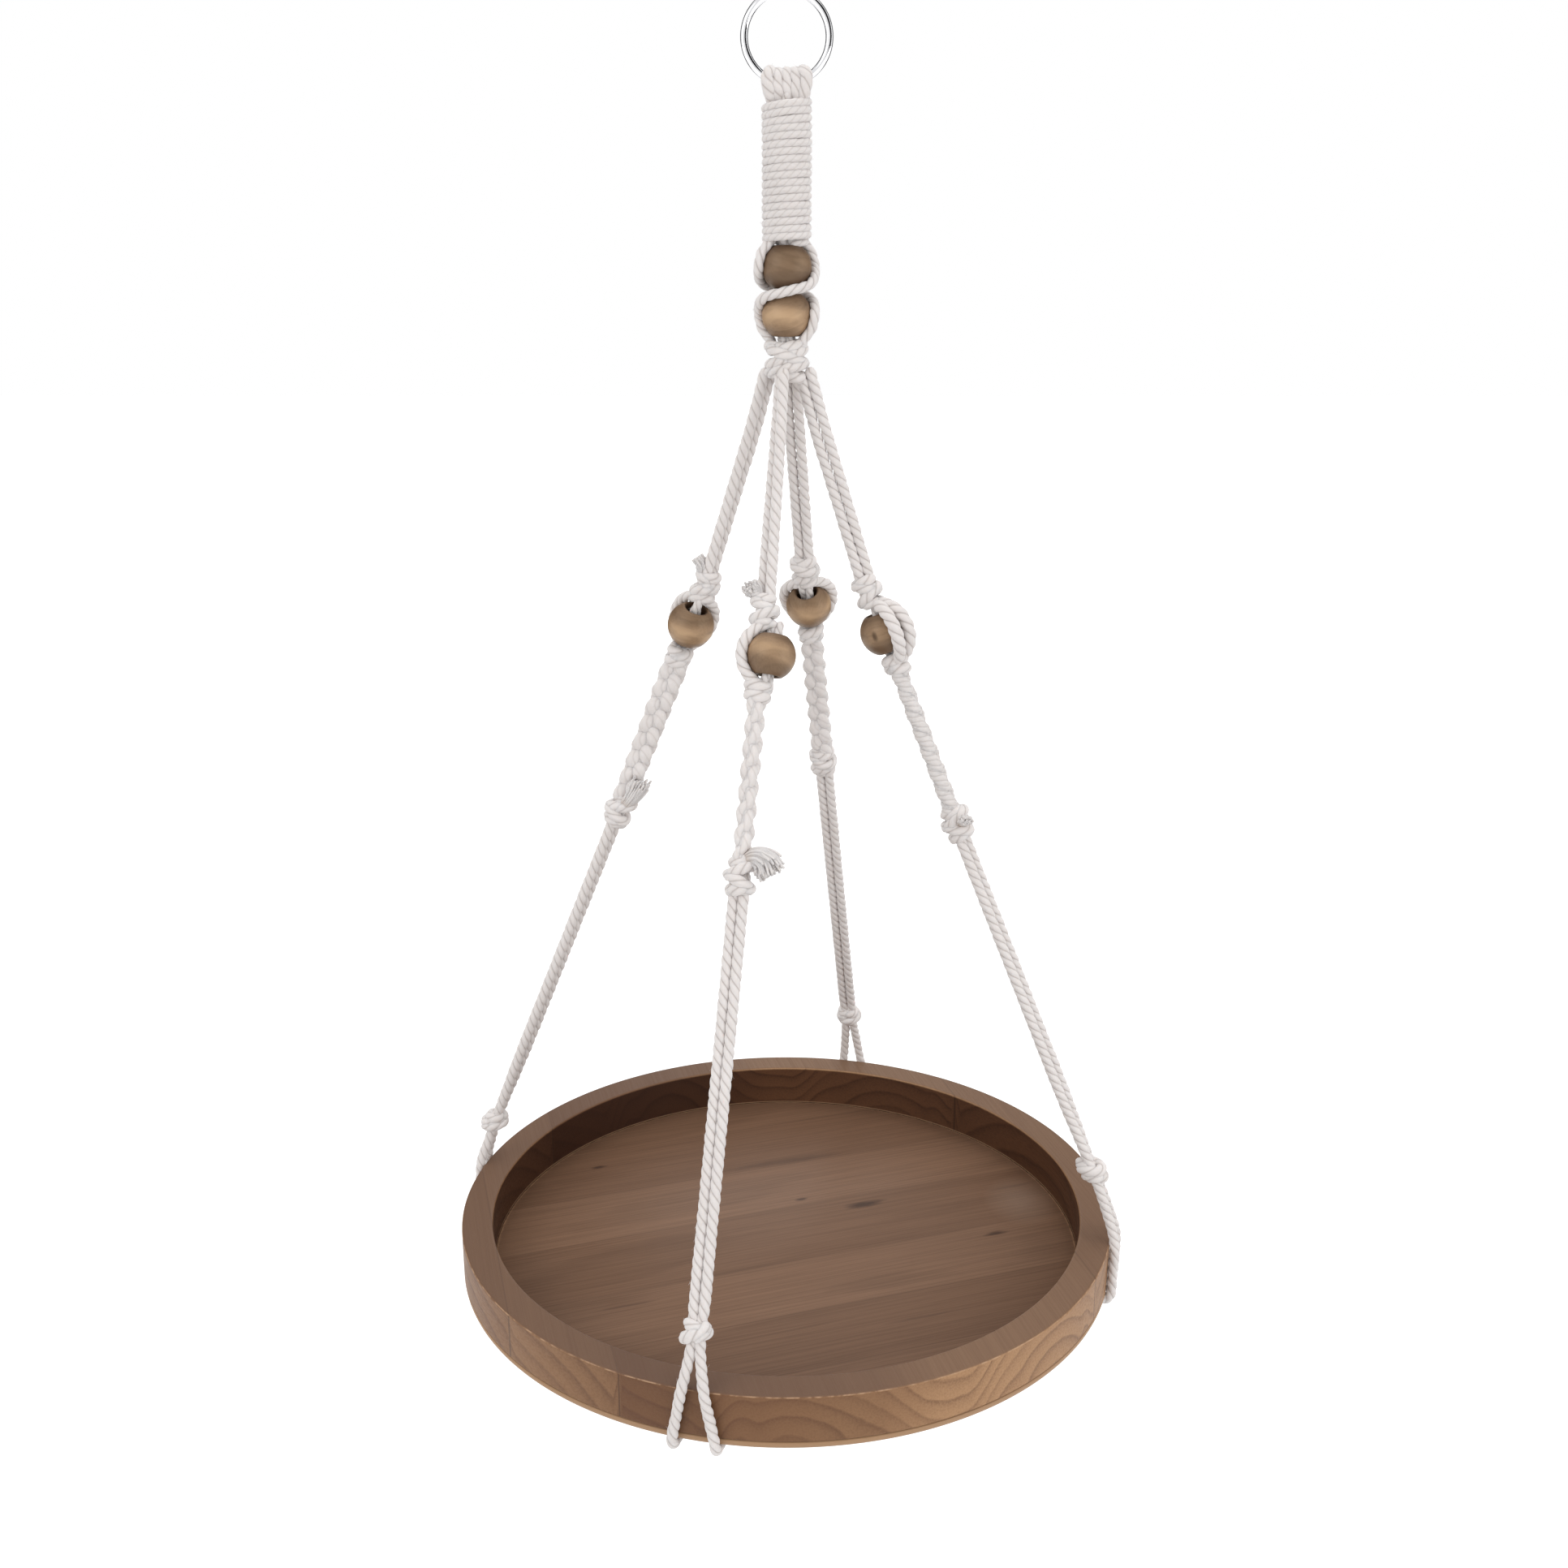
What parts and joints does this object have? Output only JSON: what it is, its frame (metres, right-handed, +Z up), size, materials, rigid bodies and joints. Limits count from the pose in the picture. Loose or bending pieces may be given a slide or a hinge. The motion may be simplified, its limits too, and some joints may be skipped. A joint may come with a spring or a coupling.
{
  "type": "hanging rope shelf",
  "caption": "Round wooden tray hung from a steel ring by knotted and braided cotton cords with wooden beads, as a shelf for a pot or small things.",
  "frame": {"origin": "where a hook bears on the inside of the ring, at the ring's top", "axes": "+Z up; +X to the right and -Y towards the viewer, with the ring face on; the front leg is 14 degrees left of -Y"},
  "size_m": [0.3034, 0.3034, 0.5536],
  "materials": {
    "cotton_cord": "undyed twisted cotton, matt, lightly fuzzy",
    "bead_wood": "bronze-brown stain, satin",
    "rim_wood": "grey-brown stain, satin",
    "floor_wood": "grey-brown stain, satin",
    "ring_steel": "polished, plated"
  },
  "bodies": {
    "ring": {"hanging_ring": "ring_steel"},
    "hanger": {"core_bundle": "cotton_cord", "crossing_cord_front": "cotton_cord", "crossing_cord_rear": "cotton_cord", "front_bead_core": "cotton_cord", "front_bead_strand_a": "cotton_cord", "front_bead_strand_b": "cotton_cord", "front_braid": "cotton_cord", "front_lower_knot": "cotton_cord", "front_rear_sling_cord_a": "cotton_cord", "front_rear_sling_cord_b": "cotton_cord", "front_tail_knot": "cotton_cord", "front_upper_cord_a": "cotton_cord", "front_upper_cord_b": "cotton_cord", "front_upper_knot": "cotton_cord", "gather_knot": "cotton_cord", "gathering_wrap": "cotton_cord", "left_bead_core": "cotton_cord", "left_bead_strand_a": "cotton_cord", "left_bead_strand_b": "cotton_cord", "left_braid": "cotton_cord", "left_lower_knot": "cotton_cord", "left_right_sling_cord_a": "cotton_cord", "left_right_sling_cord_b": "cotton_cord", "left_tail_knot": "cotton_cord", "left_upper_cord_a": "cotton_cord", "left_upper_cord_b": "cotton_cord", "left_upper_knot": "cotton_cord", "rear_bead_core": "cotton_cord", "rear_bead_strand_a": "cotton_cord", "rear_bead_strand_b": "cotton_cord", "rear_braid": "cotton_cord", "rear_lower_knot": "cotton_cord", "rear_tail_knot": "cotton_cord", "rear_upper_cord_a": "cotton_cord", "rear_upper_cord_b": "cotton_cord", "rear_upper_knot": "cotton_cord", "right_bead_core": "cotton_cord", "right_bead_strand_a": "cotton_cord", "right_bead_strand_b": "cotton_cord", "right_braid": "cotton_cord", "right_lower_knot": "cotton_cord", "right_tail_knot": "cotton_cord", "right_upper_cord_a": "cotton_cord", "right_upper_cord_b": "cotton_cord", "right_upper_knot": "cotton_cord", "ring_loop_1": "cotton_cord", "ring_loop_2": "cotton_cord", "ring_loop_3": "cotton_cord", "ring_loop_4": "cotton_cord", "ring_loop_5": "cotton_cord", "tray_floor": "floor_wood", "tray_rim": "rim_wood"},
    "upper_neck_bead": {"upper_neck_bead": "bead_wood"},
    "lower_neck_bead": {"lower_neck_bead": "bead_wood"},
    "front_bead": {"front_bead": "bead_wood"},
    "right_bead": {"right_bead": "bead_wood"},
    "rear_bead": {"rear_bead": "bead_wood"},
    "left_bead": {"left_bead": "bead_wood"}
  },
  "joints": [
    {"name": "ring_swing", "type": "hinge", "parent": "ring", "child": "hanger", "pos_m": [0, 0, -0.0315], "axis": [1, 0, 0], "range_deg": [-25, 25]},
    {"name": "upper_neck_bead_spin", "type": "hinge", "parent": "hanger", "child": "upper_neck_bead", "pos_m": [0, 0, -0.1], "axis": [0, 0, 1], "continuous": true},
    {"name": "lower_neck_bead_spin", "type": "hinge", "parent": "hanger", "child": "lower_neck_bead", "pos_m": [0, 0, -0.1185], "axis": [0, 0, 1], "continuous": true},
    {"name": "front_bead_spin", "type": "hinge", "parent": "hanger", "child": "front_bead", "pos_m": [-0.00619, -0.04279, -0.2493], "axis": [0.1575, 0.3486, 0.9239], "continuous": true},
    {"name": "right_bead_spin", "type": "hinge", "parent": "hanger", "child": "right_bead", "pos_m": [0.04082, -0.01003, -0.24632], "axis": [-0.3641, 0.0894, 0.927], "continuous": true},
    {"name": "rear_bead_spin", "type": "hinge", "parent": "hanger", "child": "rear_bead", "pos_m": [0.00987, 0.04018, -0.24433], "axis": [-0.1332, -0.5421, 0.8297], "continuous": true},
    {"name": "left_bead_spin", "type": "hinge", "parent": "hanger", "child": "left_bead", "pos_m": [-0.04115, 0.01011, -0.24731], "axis": [0.3073, -0.2896, 0.9065], "continuous": true}
  ]
}
